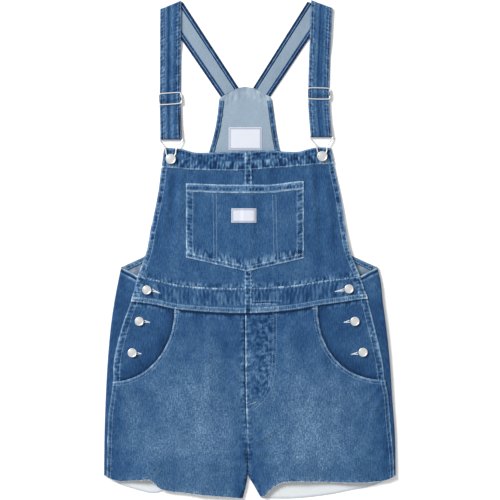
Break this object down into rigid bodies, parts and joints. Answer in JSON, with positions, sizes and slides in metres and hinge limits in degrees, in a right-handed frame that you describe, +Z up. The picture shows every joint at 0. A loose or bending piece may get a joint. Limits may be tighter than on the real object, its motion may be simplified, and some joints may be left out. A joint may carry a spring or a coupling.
{
  "type": "denim dungaree shorts laid flat",
  "caption": "Denim dungaree shorts laid flat, front up: bib with chest pocket, buttoned sides, cross-over back straps folded to the front and clipped to the bib with wire hooks, raw hems.",
  "frame": {"origin": "middle of the laid-out garment on the surface that it lies on", "axes": "+Z up from the surface towards the camera, +Y up the garment from the hems to the shoulder folds, +X to the viewer's right, which is the wearer's left"},
  "size_m": [0.54, 0.9233, 0.0143],
  "materials": {
    "denim": "washed mid-blue denim twill, faded on the thighs, with pale stitching",
    "denim_inside": "pale inner face of the denim",
    "label": "woven white label with nothing on it",
    "metal": "plated silver buttons, sliders and wire hooks"
  },
  "bodies": {
    "root": {"leg_back_left": "denim", "leg_back_right": "denim", "leg_front_left": "denim", "leg_front_right": "denim", "side_panel_left": "denim", "side_panel_right": "denim", "waistband_left": "denim", "waistband_right": "denim", "bib_left": "denim", "bib_right": "denim", "bib_band_left": "denim", "bib_band_right": "denim", "centre_seam_strip": "denim", "bib_pocket": "denim", "bib_pocket_band": "denim", "pocket_label": "label", "back_bib": "denim_inside", "armhole_hem_left": "denim", "armhole_hem_right": "denim", "neck_label": "label", "strap_back_left": "denim_inside", "strap_back_right": "denim_inside", "strap_front_left": "denim", "strap_front_right": "denim", "slider_left": "metal", "slider_right": "metal", "hook_left": "metal", "hook_right": "metal", "bib_button_left": "metal", "bib_button_right": "metal", "side_button_left_1": "metal", "side_button_left_2": "metal", "side_button_left_3": "metal", "side_button_right_1": "metal", "side_button_right_2": "metal", "side_button_right_3": "metal"}
  },
  "joints": []
}
